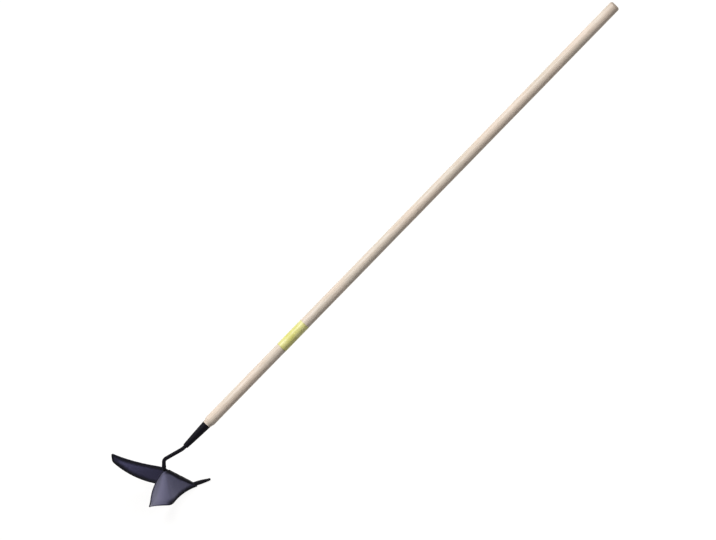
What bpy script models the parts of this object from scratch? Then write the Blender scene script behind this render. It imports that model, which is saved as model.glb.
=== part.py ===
# Ridging hoe: an ash shaft held in a steel ferrule on the tang of a forged swan-neck shank, whose
# lower end is the stem that two pressed mouldboards are welded to, behind a forged share point.
# Metres. +X is the way the hoe is pulled, +Z is up, left is +Y. The hoe stands on its sole as it is
# held in use, and the origin is the middle of the share point's flat underside.

import math

import bmesh
import bpy
from mathutils import Matrix, Vector

GAP = 0.0003  # left between pieces that touch or are welded together

NECK_X = -0.076  # the swan neck drops to the body on this upright line
RIDGE_TOP = 0.088  # height where the neck meets the mouldboards

HANDLE_LENGTH = 1.500
HANDLE_RADIUS = 0.0140
HANDLE_LIFT = math.radians(38.0)  # the shaft's slope above level in use
HANDLE_IN_FERRULE = 0.046
HANDLE_END_ROUND = 0.0060
HANDLE_SHOULDER = 0.014  # the wood swells from the ferrule to its full size over this length

FERRULE_LENGTH = 0.0765
FERRULE_MOUTH_RADIUS = 0.01125
FERRULE_END_RADIUS = 0.0068
FERRULE_WALL = 0.0011
FERRULE_MOUTH = Vector((0.0442, 0.0, 0.1815))

PIN_RADIUS = 0.0015
PIN_HEAD_RADIUS = 0.0030
PIN_HEAD_HEIGHT = 0.0014
PIN_FROM_MOUTH = 0.022

LABEL_FROM_MOUTH = 0.268
LABEL_LENGTH = 0.083
LABEL_THICKNESS = 0.0003

NECK_RADIUS = 0.0050
NECK_LIFT = math.atan(0.270)  # the neck's slope between its two bends
NECK_TOP_BEND = 0.034  # bend radii on the centre line
NECK_DROP_BEND = 0.0095
NECK_DROP = 0.0328  # from the neck's forward bend down to the stem's corner
STEM_CORNER_BELOW = 0.0060  # the stem's corner lies this far under the mouldboards' rim
STEM_BEND = 0.020
TANG_PAST_MOUTH = 0.036
TANG_TIP_RADIUS = 0.0026
TANG_ROOT_RADIUS = 0.0043

STEM_SLOPE = math.radians(44.3)  # the stem falls forward at this angle
STEM_HALF_WIDTH = 0.0040
STEM_HALF_DEPTH = 0.0050
STEM_PROUD = 0.0015  # the stem stands this far in front of the mouldboards' front edges
STEM_DRAWN_FROM = 0.020  # above its corner, where the round neck starts to flatten into the stem
STEM_DRAWN_OVER = 0.014

SHARE_TAIL_X = -0.034
SHARE_NOSE_X = 0.0525
SHARE_HEIGHT = 0.0090
SHARE_CHAMFER = 0.0012
SHARE_NOSE_LENGTH = 0.034
SHARE_TIP_HALF_WIDTH = 0.0018
SHARE_TIP_LOW = 0.0006
SHARE_TIP_HIGH = 0.0064

PLATE = 0.0030
CORNER = Vector((-0.080, 0.051, 0.006))  # lower rear corner of the left mouldboard
CORNER_FLARE = 1.95  # power of the sole line's outward sweep
TIP_TOP = Vector((-0.1665, 0.110, 0.092))
TIP_FOOT = Vector((-0.168, 0.103, 0.0715))
RIM_BOW = Vector((-0.0065, -0.0042, 0.0010))  # how far the rim's middle bows in from a straight line
REAR_BOW = Vector((-0.0075, -0.0070, -0.0010))
PLATE_FRONT_HEIGHT = 0.0095
PLATE_FRONT_SLANT = 0.0100  # the short front edge leans forward by this much towards the ground
PLATE_FOLD = 0.12  # half-width of the eased fold, as a share of each panel

WELD_RADIUS = 0.0011
WELD_FROM = 0.05  # where the beads start and end, as shares of the mouldboards' front edge
WELD_TO = 0.80

HANDLE_AXIS = Vector((math.cos(HANDLE_LIFT), 0.0, math.sin(HANDLE_LIFT)))
STEM_AXIS = Vector((math.cos(STEM_SLOPE), 0.0, -math.sin(STEM_SLOPE)))
STEM_FRONT = Vector((math.sin(STEM_SLOPE), 0.0, math.cos(STEM_SLOPE)))
SIDE = Vector((0.0, 1.0, 0.0))
FLANK = STEM_HALF_WIDTH + GAP + PLATE  # where a mouldboard's outer face starts, out from the middle


def clear_scene():
    for obj in list(bpy.data.objects):
        bpy.data.objects.remove(obj)


def linear(hex_colour):
    """The sRGB hex colour as linear red, green, blue and alpha."""
    values = [int(hex_colour[i : i + 2], 16) / 255 for i in (0, 2, 4)]
    return [v / 12.92 if v <= 0.04045 else ((v + 0.055) / 1.055) ** 2.4 for v in values] + [1.0]


def make_material(name, hex_colour, roughness, metallic):
    mat = bpy.data.materials.new(name)
    mat.use_nodes = True
    shader = mat.node_tree.nodes["Principled BSDF"]
    shader.inputs["Base Color"].default_value = linear(hex_colour)
    shader.inputs["Roughness"].default_value = roughness
    shader.inputs["Metallic"].default_value = metallic
    return mat


def add_object(name, mesh, mat, sharp_angle=35):
    mesh.shade_smooth()
    mesh.set_sharp_from_angle(angle=math.radians(sharp_angle))
    mesh.materials.append(mat)
    obj = bpy.data.objects.new(name, mesh)
    bpy.context.scene.collection.objects.link(obj)
    return obj


def mesh_from(bm, name):
    bmesh.ops.recalc_face_normals(bm, faces=bm.faces)
    mesh = bpy.data.meshes.new(name)
    bm.to_mesh(mesh)
    bm.free()
    return mesh


def on_handle_axis(from_mouth):
    """A point on the shaft's axis, measured up from the ferrule's mouth."""
    return FERRULE_MOUTH + HANDLE_AXIS * from_mouth


def turned(name, profile, mat, closed=False, steps=32):
    """Turns a profile of (radius, distance up the shaft) points round the shaft's axis."""
    mesh = bpy.data.meshes.new(name)
    edges = [(i, i + 1) for i in range(len(profile) - 1)]
    if closed:
        edges.append((len(profile) - 1, 0))
    mesh.from_pydata([(radius, 0.0, along) for radius, along in profile], edges, [])
    obj = bpy.data.objects.new(name, mesh)
    bpy.context.scene.collection.objects.link(obj)
    mesh.materials.append(mat)
    obj.location = FERRULE_MOUTH
    obj.rotation_euler = (0.0, math.radians(90) - HANDLE_LIFT, 0.0)
    screw = obj.modifiers.new("turn", "SCREW")
    screw.steps = steps
    screw.render_steps = steps
    screw.use_merge_vertices = True
    screw.merge_threshold = 0.00001
    screw.use_smooth_shade = True
    return obj


def arc(centre, radius, start, end, count):
    """Points of an arc in a turned profile, angles in degrees from the +radius direction."""
    angles = [math.radians(start + (end - start) * i / count) for i in range(count + 1)]
    return [(centre[0] + radius * math.cos(a), centre[1] + radius * math.sin(a)) for a in angles]


def ferrule_radius(from_mouth):
    """Outer radius of the ferrule's cone, from_mouth being negative down the ferrule."""
    share = 1.0 + from_mouth / FERRULE_LENGTH
    return FERRULE_END_RADIUS + (FERRULE_MOUTH_RADIUS - FERRULE_END_RADIUS) * share**0.85


def tang_radius(from_mouth):
    """Radius of the tang, which tapers from its root in the ferrule to its tip in the wood."""
    share = (from_mouth + FERRULE_LENGTH) / (TANG_PAST_MOUTH + FERRULE_LENGTH)
    return TANG_ROOT_RADIUS + (TANG_TIP_RADIUS - TANG_ROOT_RADIUS) * share


def make_handle(mat):
    top = HANDLE_LENGTH - HANDLE_IN_FERRULE
    edge = HANDLE_END_ROUND
    profile = [(0.0, top)]
    profile += arc((HANDLE_RADIUS - edge, top - edge), edge, 90, 0, 6)
    shoulder_steps = 6
    for i in range(shoulder_steps + 1):
        swell = 0.5 + 0.5 * math.cos(math.pi * i / shoulder_steps)
        radius = FERRULE_MOUTH_RADIUS + (HANDLE_RADIUS - FERRULE_MOUTH_RADIUS) * swell
        profile.append((radius, GAP + HANDLE_SHOULDER * (1 - i / shoulder_steps)))
    cone_steps = 4
    for i in range(cone_steps + 1):
        along = GAP - (HANDLE_IN_FERRULE + GAP) * i / cone_steps
        profile.append((ferrule_radius(min(along, 0.0)) - FERRULE_WALL - GAP, along))
    bore_end = TANG_PAST_MOUTH + 0.002
    profile.append((tang_radius(-HANDLE_IN_FERRULE) + GAP, -HANDLE_IN_FERRULE))
    profile.append((tang_radius(TANG_PAST_MOUTH) + GAP, bore_end))
    profile.append((0.0, bore_end))
    return turned("handle", profile, mat)


def make_ferrule(mat):
    steps = 8
    stations = [-FERRULE_LENGTH * i / steps for i in range(steps + 1)]
    outer = [(ferrule_radius(along), along) for along in stations]
    inner = [(max(r - FERRULE_WALL, NECK_RADIUS + GAP), along) for r, along in reversed(outer)]
    return turned("ferrule", outer + inner, mat, closed=True)


def make_label(mat):
    inner = HANDLE_RADIUS + GAP
    outer = inner + LABEL_THICKNESS
    top = LABEL_FROM_MOUTH + LABEL_LENGTH
    profile = [(outer, top), (outer, LABEL_FROM_MOUTH), (inner, LABEL_FROM_MOUTH), (inner, top)]
    return turned("label", profile, mat, closed=True)


def along_y(radius, length, segments, centre):
    """A bmesh cylinder whose axis is level across the hoe."""
    bm = bmesh.new()
    turn = Matrix.Translation(centre) @ Matrix.Rotation(math.radians(90), 4, "X")
    bmesh.ops.create_cone(
        bm,
        cap_ends=True,
        segments=segments,
        radius1=radius,
        radius2=radius,
        depth=length,
        matrix=turn,
    )
    return bm


def make_pin(mat):
    """The rivet through the ferrule, the wood and the tang, with a domed head on each side."""
    centre = on_handle_axis(-PIN_FROM_MOUTH)
    seat = ferrule_radius(-PIN_FROM_MOUTH) + GAP
    half_profile = [(PIN_RADIUS, seat)]
    dome_steps = 4
    for i in range(dome_steps):
        angle = math.radians(90) * i / dome_steps
        across = PIN_HEAD_RADIUS * math.cos(angle)
        half_profile.append((across, seat + PIN_HEAD_HEIGHT * math.sin(angle)))
    profile = [(radius, -out) for radius, out in reversed(half_profile)] + half_profile
    segments = 16
    bm = bmesh.new()
    rings = []
    for radius, out in profile:
        angles = [2 * math.pi * k / segments for k in range(segments)]
        ring = [centre + Vector((radius * math.cos(a), out, radius * math.sin(a))) for a in angles]
        rings.append([bm.verts.new(point) for point in ring])
    for a, b in zip(rings, rings[1:]):
        for k in range(segments):
            bm.faces.new((a[k - 1], a[k], b[k], b[k - 1]))
    for ring, out in ((rings[0], profile[0][1]), (rings[-1], profile[-1][1])):
        rise = PIN_HEAD_HEIGHT * (1 - math.sin(math.radians(90) * (dome_steps - 1) / dome_steps))
        crown = bm.verts.new(centre + SIDE * (out + math.copysign(rise, out)))
        for k in range(segments):
            bm.faces.new((ring[k - 1], ring[k], crown))
    return add_object("ferrule_pin", mesh_from(bm, "ferrule_pin"), mat)


def cut_pin_hole(targets):
    """Bores the rivet's hole through each target with one hidden cutter."""
    centre = on_handle_axis(-PIN_FROM_MOUTH)
    bm = along_y(PIN_RADIUS + GAP, 0.05, 16, centre)
    cutter = bpy.data.objects.new("pin_hole", mesh_from(bm, "pin_hole"))
    bpy.context.scene.collection.objects.link(cutter)
    cutter.hide_render = True
    cutter.display_type = "WIRE"
    for target in targets:
        hole = target.modifiers.new("pin hole", "BOOLEAN")
        hole.operation = "DIFFERENCE"
        hole.object = cutter


def filleted(corners, radii, steps=7):
    """A path of straight runs with an arc at each inner corner, as (point, direction) pairs."""
    path = [(corners[0], (corners[1] - corners[0]).normalized())]
    for before, corner, after, radius in zip(corners, corners[1:], corners[2:], radii):
        into = (corner - before).normalized()
        out = (after - corner).normalized()
        turn = into.angle(out)
        start = corner - into * radius * math.tan(turn / 2)
        centre = start + (out - into * into.dot(out)).normalized() * radius
        axis = into.cross(out).normalized()
        for i in range(steps + 1):
            spin = Matrix.Rotation(turn * i / steps, 3, axis)
            path.append((centre + spin @ (start - centre), spin @ into))
    path.append((corners[-1], (corners[-1] - corners[-2]).normalized()))
    return path


def oval(point, direction, half_width, half_depth, squareness, count=20):
    """A ring across the path: round at squareness 2, nearly a bar's section at 4."""
    normal = direction.cross(SIDE)
    ring = []
    for k in range(count):
        angle = 2 * math.pi * k / count
        across = math.copysign(abs(math.cos(angle)) ** (2 / squareness), math.cos(angle))
        deep = math.copysign(abs(math.sin(angle)) ** (2 / squareness), math.sin(angle))
        ring.append(point + SIDE * half_width * across + normal * half_depth * deep)
    return ring


def skin(rings):
    """Joins rings of the same count into one closed body, capped at both ends."""
    bm = bmesh.new()
    rows = [[bm.verts.new(point) for point in ring] for ring in rings]
    for a, b in zip(rows, rows[1:]):
        for k in range(len(a)):
            bm.faces.new((a[k - 1], a[k], b[k], b[k - 1]))
    bm.faces.new(rows[0])
    bm.faces.new(rows[-1])
    return bm


def stem_corner():
    """Where the neck's upright centre line meets the stem's sloping one."""
    return Vector((NECK_X, 0.0, RIDGE_TOP - STEM_CORNER_BELOW))


def shank_path():
    """The shank's centre line, from the tang's tip down to the top of the share point."""
    drop = HANDLE_AXIS.z / HANDLE_AXIS.x
    neck = math.tan(NECK_LIFT)
    corner = stem_corner()
    neck_top = corner + Vector((0.0, 0.0, NECK_DROP))
    reach = FERRULE_MOUTH.z - neck_top.z - drop * (FERRULE_MOUTH.x - NECK_X)
    bend = neck_top + Vector((1.0, 0.0, neck)) * reach / (neck - drop)
    foot = corner + STEM_AXIS * (corner.z - SHARE_HEIGHT - GAP) / -STEM_AXIS.z
    tip = on_handle_axis(TANG_PAST_MOUTH)
    root = on_handle_axis(-FERRULE_LENGTH)
    lower = filleted([root, bend, neck_top, corner, foot], [NECK_TOP_BEND, NECK_DROP_BEND, STEM_BEND])
    upper = [(tip + (root - tip) * i / 4, -HANDLE_AXIS) for i in range(4)]
    return upper + lower


def make_shank(mat):
    """Tang, swan neck and stem in one forging: round in the neck, drawn to a flat bar below it."""
    corner = stem_corner()
    tang_rings = 5
    rings = []
    for i, (point, direction) in enumerate(shank_path()):
        if i < tang_rings:
            radius = tang_radius((point - FERRULE_MOUTH).dot(HANDLE_AXIS))
            rings.append(oval(point, direction, radius, radius, 2))
            continue
        flat = min(1.0, max(0.0, (corner.z + STEM_DRAWN_FROM - point.z) / STEM_DRAWN_OVER))
        half_width = NECK_RADIUS + (STEM_HALF_WIDTH - NECK_RADIUS) * flat
        half_depth = NECK_RADIUS + (STEM_HALF_DEPTH - NECK_RADIUS) * flat
        rings.append(oval(point, direction, half_width, half_depth, 2 + 2 * flat))
    level = SHARE_HEIGHT + GAP
    rings[-1] = [p + STEM_AXIS * (level - p.z) / STEM_AXIS.z for p in rings[-1]]
    return add_object("shank", mesh_from(skin(rings), "shank"), mat)


def share_ring(x):
    """The share point's chamfered section at x: full bar behind, drawn down to the nose."""
    nose = max(0.0, (x - SHARE_NOSE_X + SHARE_NOSE_LENGTH) / SHARE_NOSE_LENGTH)
    half = STEM_HALF_WIDTH + (SHARE_TIP_HALF_WIDTH - STEM_HALF_WIDTH) * nose**1.6
    low = SHARE_TIP_LOW * max(0.0, 2 * nose - 1) ** 2
    high = SHARE_HEIGHT + (SHARE_TIP_HIGH - SHARE_HEIGHT) * nose**1.4
    cut = min(SHARE_CHAMFER, 0.4 * half)
    outline = [
        (half - cut, low),
        (half, low + cut),
        (half, high - cut),
        (half - cut, high),
    ]
    outline += [(-y, z) for y, z in reversed(outline)]
    return [Vector((x, y, z)) for y, z in outline]


def make_share_point(mat):
    steps = 8
    start = SHARE_NOSE_X - SHARE_NOSE_LENGTH
    stations = [SHARE_TAIL_X, start]
    stations += [start + SHARE_NOSE_LENGTH * (i + 1) / steps for i in range(steps)]
    rings = [share_ring(x) for x in stations]
    return add_object("share_point", mesh_from(skin(rings), "share_point"), mat)


def bow(share):
    """A parabola that is 1 in the middle and 0 at both ends."""
    return 4 * share * (1 - share)


def upper_edge(t):
    """The mouldboard's front edge up the stem for t 0 to 1, then its level rim out to the tip."""
    proud = STEM_HALF_DEPTH - STEM_PROUD
    line = stem_corner() + STEM_FRONT * proud
    top = line + STEM_AXIS * (line.z - RIDGE_TOP) / -STEM_AXIS.z + SIDE * FLANK
    foot = line + STEM_AXIS * (line.z - PLATE_FRONT_HEIGHT) / -STEM_AXIS.z + SIDE * FLANK
    if t <= 1:
        return foot.lerp(top, t)
    return top.lerp(TIP_TOP, t - 1) + RIM_BOW * bow(t - 1)


def lower_edge(t):
    """The sole line for t 0 to 1, sweeping out by a power law, then the rising rear edge."""
    if t > 1:
        return CORNER.lerp(TIP_FOOT, t - 1) + REAR_BOW * bow(t - 1)
    front = upper_edge(0).x + PLATE_FRONT_SLANT
    spread = (CORNER.y - FLANK) * t**CORNER_FLARE
    return Vector((front + (CORNER.x - front) * t, FLANK + spread, CORNER.z * t**2))


def eased(edge, t):
    """The edge with its corner at t = 1 rounded by a quadratic curve."""
    if abs(t - 1) >= PLATE_FOLD:
        return edge(t)
    f = (t - 1 + PLATE_FOLD) / (2 * PLATE_FOLD)
    start = edge(1 - PLATE_FOLD)
    end = edge(1 + PLATE_FOLD)
    return start * (1 - f) ** 2 + edge(1) * 2 * f * (1 - f) + end * f**2


def plate_point(t, v):
    """A point of the mouldboard's outer face, on the straight line from sole to rim at t."""
    return eased(lower_edge, t).lerp(eased(upper_edge, t), v)


def plate_normal(t, v):
    """The outward direction of the face, from two short chords."""
    step = 0.01
    t_low, t_high = max(t - step, 0.0), min(t + step, 2.0)
    forward = plate_point(t_high, v) - plate_point(t_low, v)
    upward = plate_point(t, min(v + step, 1.0)) - plate_point(t, max(v - step, 0.0))
    return upward.cross(forward).normalized() * -1


def plate_stations():
    """Places along the board, closest together round the fold."""
    front = [(1 - PLATE_FOLD) * i / 9 for i in range(9)]
    fold = [1 - PLATE_FOLD + 2 * PLATE_FOLD * i / 8 for i in range(9)]
    wing = [1 + PLATE_FOLD + (1 - PLATE_FOLD) * (i + 1) / 7 for i in range(7)]
    return front + fold + wing


def make_mouldboard(name, side, mat):
    """A pressed plate: the ruled face, its back one plate thickness behind, and its four edges.
    The lower edge is cut level, so that it stands flat on the ground."""
    rows = 6
    outer = []
    inner = []
    for t in plate_stations():
        ruling = (eased(upper_edge, t) - eased(lower_edge, t)).normalized()
        for j in range(rows + 1):
            face = plate_point(t, j / rows)
            back = face - plate_normal(t, j / rows) * PLATE
            if j == 0:
                back += ruling * (face.z - back.z) / ruling.z
            outer.append(Vector((face.x, side * face.y, face.z)))
            inner.append(Vector((back.x, side * back.y, back.z)))
    bm = bmesh.new()
    front = [bm.verts.new(point) for point in outer]
    rear = [bm.verts.new(point) for point in inner]
    across = rows + 1
    count = len(plate_stations())
    for i in range(count - 1):
        for j in range(rows):
            a = i * across + j
            corners = (a, a + 1, a + across + 1, a + across)
            bm.faces.new([front[k] for k in corners])
            bm.faces.new([rear[k] for k in reversed(corners)])
    last = (count - 1) * across
    rim = [i * across for i in range(count)]
    rim += [last + j for j in range(1, across)]
    rim += [i * across + rows for i in reversed(range(count - 1))]
    rim += [j for j in reversed(range(1, rows))]
    for a, b in zip(rim, rim[1:] + rim[:1]):
        bm.faces.new((front[a], front[b], rear[b], rear[a]))
    return add_object(name, mesh_from(bm, name), mat)


def make_weld(name, side, mat):
    """The bead in the corner between the stem's flank and the mouldboard's front edge."""
    out = SIDE * (STEM_HALF_WIDTH + GAP + WELD_RADIUS - FLANK) + STEM_FRONT * (GAP + WELD_RADIUS)
    steps = 10
    curve = bpy.data.curves.new(name, "CURVE")
    curve.dimensions = "3D"
    curve.bevel_depth = WELD_RADIUS
    curve.bevel_resolution = 2
    curve.use_fill_caps = True
    spline = curve.splines.new("POLY")
    spline.points.add(steps)
    for i in range(steps + 1):
        place = eased(upper_edge, WELD_FROM + (WELD_TO - WELD_FROM) * i / steps) + out
        spline.points[i].co = (place.x, side * place.y, place.z, 1.0)
    curve.materials.append(mat)
    obj = bpy.data.objects.new(name, curve)
    bpy.context.scene.collection.objects.link(obj)
    return obj


def main():
    clear_scene()
    ash = make_material("ash", "e8ddd1", 0.55, 0.0)
    black_paint = make_material("black_painted_steel", "1c1826", 0.40, 0.0)
    blue_paint = make_material("blue_grey_painted_steel", "5e5d6d", 0.42, 0.0)
    yellow_film = make_material("yellow_film", "e6e08c", 0.45, 0.0)

    handle = make_handle(ash)
    ferrule = make_ferrule(black_paint)
    shank = make_shank(black_paint)
    make_pin(black_paint)
    cut_pin_hole([handle, ferrule, shank])
    make_label(yellow_film)
    make_share_point(black_paint)
    make_mouldboard("mouldboard_left", 1, blue_paint)
    make_mouldboard("mouldboard_right", -1, blue_paint)
    make_weld("weld_left", 1, black_paint)
    make_weld("weld_right", -1, black_paint)


main()
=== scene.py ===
# Ridging hoe: the looks of the pull-type hoe, an ash shaft in a steel ferrule on a forged swan neck,
# with two pressed boards behind a share point. Metres, +X the way it is pulled, +Z up, left is +Y.
import math
import bpy
import numpy as np
from mathutils import Matrix, Vector


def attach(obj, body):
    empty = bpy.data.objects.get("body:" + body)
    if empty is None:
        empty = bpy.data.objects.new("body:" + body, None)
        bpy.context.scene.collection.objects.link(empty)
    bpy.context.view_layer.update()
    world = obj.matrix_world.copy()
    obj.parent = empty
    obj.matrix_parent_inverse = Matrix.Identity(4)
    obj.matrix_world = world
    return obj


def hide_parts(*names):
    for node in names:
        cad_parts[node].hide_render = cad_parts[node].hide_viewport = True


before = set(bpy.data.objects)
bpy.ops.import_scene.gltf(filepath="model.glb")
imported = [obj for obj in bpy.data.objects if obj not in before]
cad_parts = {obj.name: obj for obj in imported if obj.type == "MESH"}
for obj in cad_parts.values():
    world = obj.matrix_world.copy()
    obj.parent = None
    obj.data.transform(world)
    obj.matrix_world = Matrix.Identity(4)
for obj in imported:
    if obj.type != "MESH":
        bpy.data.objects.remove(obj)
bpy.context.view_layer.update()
print("frame loaded, nodes:", len(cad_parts))

mm = 0.001

# Lines that several pieces are laid out on, as the solids have them.
layout = {
    "gap": 0.3 * mm,  # between solids that touch or are welded
    "mouth": np.array([44.2, 0.0, 181.5]) * mm,  # middle of the ferrule's mouth
    "lift": math.radians(38.0),  # the shaft's slope
    "neckX": -76 * mm,  # the neck drops to the boards on this upright line
    "ridgeTop": 88 * mm,  # height where the neck meets the boards
    "cornerBelow": 6 * mm,  # the stem's corner lies this far under the boards' rim
    "stemSlope": math.radians(44.3),
    "stemHalfWidth": 4 * mm,
    "stemHalfDepth": 5 * mm,
}

side = np.array([0.0, 1.0, 0.0])
shaftAxis = np.array([math.cos(layout["lift"]), 0.0, math.sin(layout["lift"])])
shaftFront = np.cross(side, shaftAxis)
stemAxis = np.array([math.cos(layout["stemSlope"]), 0.0, -math.sin(layout["stemSlope"])])
stemFront = np.cross(stemAxis, side)
stemCorner = np.array([layout["neckX"], 0.0, layout["ridgeTop"] - layout["cornerBelow"]])


def unit(vectors):
    return vectors / np.maximum(np.linalg.norm(vectors, axis=-1, keepdims=True), 1e-12)


def between(a, b, part):
    return a + (b - a) * part


def smooth(x):
    # eases from 0 to 1: 3x^2 - 2x^3, x held between 0 and 1
    x = np.clip(x, 0.0, 1.0)
    return x * x * (3 - 2 * x)


def unevenness(points, wavelength, seed, waves=7):
    # sum of sine waves that run in seeded directions through space, over the root of their number
    rng = np.random.default_rng(seed)
    ways = unit(rng.normal(size=(waves, 3))) / (wavelength * rng.uniform(0.7, 1.4, size=(waves, 1)))
    starts = rng.uniform(0, 2 * math.pi, size=waves)
    return np.sin(points @ (2 * math.pi * ways.T) + starts).sum(-1) / math.sqrt(waves)


def gridFaces(rows, columns, wrapRows=False, wrapColumns=False):
    # quads between the neighbours of a grid whose points are numbered row by row
    i = np.arange(rows if wrapRows else rows - 1)[:, None]
    j = np.arange(columns if wrapColumns else columns - 1)[None, :]
    a, b = i * columns, ((i + 1) % rows) * columns
    k = (j + 1) % columns
    return np.stack([a + j, a + k, b + k, b + j], -1).reshape(-1, 4)


def insideOut(points, faces):
    # the volume under each triangle of the faces' fans, summed, is negative when they point inwards
    first, second, third, last = (points[[f[i] for f in faces]] for i in (0, 1, 2, -1))
    volume = (first * np.cross(second, third)).sum() + (first * np.cross(third, last)).sum()
    return volume < 0


def newObject(name, data):
    thing = bpy.data.objects.new(name, data)
    bpy.context.scene.collection.objects.link(thing)
    return thing


sharpAngle = math.radians(40)  # a sharper turn isn't shaded round


def addPiece(name, points, faces, slotName, node, **shares):
    # one closed piece on the hoe's only body, in place of its solid
    faces = [list(f) for f in faces]
    if insideOut(points, faces):
        faces = [f[::-1] for f in faces]
    mesh = bpy.data.meshes.new(name)
    mesh.from_pydata(points.tolist(), [], faces)
    mesh.validate()
    mesh.shade_smooth()
    mesh.set_sharp_from_angle(angle=sharpAngle)
    mesh.materials.append(finishes[slotName])
    # each point's wear, hollow side, dark margin and painted shade or highlight, read by the materials
    for key, values in shares.items():
        mesh.attributes.new(key, "FLOAT", "POINT").data.foreach_set("value", values)
    piece = newObject(name, mesh)
    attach(piece, "root")
    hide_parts(node)
    print(name, "made,", len(faces), "faces")


def onceRound(count):
    return np.linspace(0, 2 * math.pi, count, endpoint=False)


def upShaft(points):
    # how far up the shaft from the ferrule's mouth
    return (points - layout["mouth"]) @ shaftAxis


def turned(profile, count):
    # each (radius, along) point goes round the shaft's axis:
    # mouth + axis * along + (side * cos a + front * sin a) * radius
    angles = onceRound(count)
    outwards = np.cos(angles)[:, None] * side + np.sin(angles)[:, None] * shaftFront
    radius, along = profile[:, 0], profile[:, 1]
    return layout["mouth"] + along[:, None, None] * shaftAxis + radius[:, None, None] * outwards


def arc(centre, radius, start, end, count):
    # (radius, along) points of an arc in a turned profile, angles in degrees from outwards
    a = np.radians(np.linspace(start, end, count))
    return np.stack([centre[0] + radius * np.cos(a), centre[1] + radius * np.sin(a)], -1)


def capped(rings):
    # rings of points joined into a tube, each end closed by a fan to its middle
    rows, columns = rings.shape[:2]
    points = np.concatenate([rings.reshape(-1, 3), [rings[0].mean(0), rings[-1].mean(0)]])
    j = np.arange(columns)
    k = (j + 1) % columns
    last = (rows - 1) * columns
    middle = np.full(columns, rows * columns)
    faces = gridFaces(rows, columns, wrapColumns=True).tolist()
    faces += np.stack([k, j, middle], -1).tolist()
    faces += np.stack([last + j, last + k, middle + 1], -1).tolist()
    return points, faces


def linear(hexColour):
    # sRGB hex to linear red, green, blue and alpha
    values = [int(hexColour[i:i + 2], 16) / 255 for i in (0, 2, 4)]
    return [v / 12.92 if v <= 0.04045 else ((v + 0.055) / 1.055) ** 2.4 for v in values] + [1.0]


def addNode(tree, kind, settings=(), links=()):
    # one shader node; a setting is a property or a socket's value, a link is another's output or
    # another node, for the first of its outputs in use
    node = tree.nodes.new("ShaderNode" + kind)
    for key, value in dict(settings).items():
        if isinstance(key, str) and hasattr(node, key):
            setattr(node, key, value)
        else:
            node.inputs[key].default_value = value
    for key, source in dict(links).items():
        if isinstance(source, bpy.types.Node):
            source = next(output for output in source.outputs if output.enabled)
        tree.links.new(source, node.inputs[key])
    return node


def emptyTree(owner):
    owner.use_nodes = True
    owner.node_tree.nodes.clear()
    return owner.node_tree


def newMaterial(name):
    material = bpy.data.materials.new(name)
    return material, emptyTree(material)


# Ash, turned on a lathe, sanded and sealed with a thin satin oil: cream with a pinkish cast, pale
# straight grain that opens into long flames where a growth ring lies along the surface, and short
# darker dashes where the rings' open pores are cut.
ashLook = {
    "pale": "f0e3d3",
    "pink": "ecd9cc",
    "grey": "ddd5ca",
    "patchStrength": 0.55,  # of the pinker and greyer wood
    "layers": {  # the colour and strength of each, one over the other
        "ring": ("d3bfa8", 0.62),
        "fibre": ("d3bfa8", 0.6),
        "pore": ("b39c84", 0.7),
        "end": ("6e5b49", 0.75),
    },
    "ringSpacing": 3.4 * mm,
    "ringStretch": 0.05,
    "pithAway": 38 * mm,  # the tree's heart was this far from the shaft's axis
    "grainSlope": 0.7,  # degrees between the grain and the shaft
    # the smaller a noise's stretch, the longer it is drawn out along the shaft
    "fibre": {"perMetre": 900.0, "stretch": 0.03, "detail": 3.0, "roughness": 0.6, "shows": (0.42, 0.70)},
    "pore": {"perMetre": 900.0, "stretch": 0.09, "detail": 1.0, "roughness": 0.5, "shows": (0.60, 0.72)},
    "patch": {"perMetre": 26.0, "stretch": 0.35, "detail": 1.0, "roughness": 0.5, "shows": (0.42, 0.62)},
    "fibreRelief": 0.35,  # how high the fibres stand, where the pores are 1 deep
    "relief": 0.35,
    "reliefDepth": 0.12 * mm,
    "roughness": (0.46, 0.60),  # smoothest and roughest
}


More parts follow.
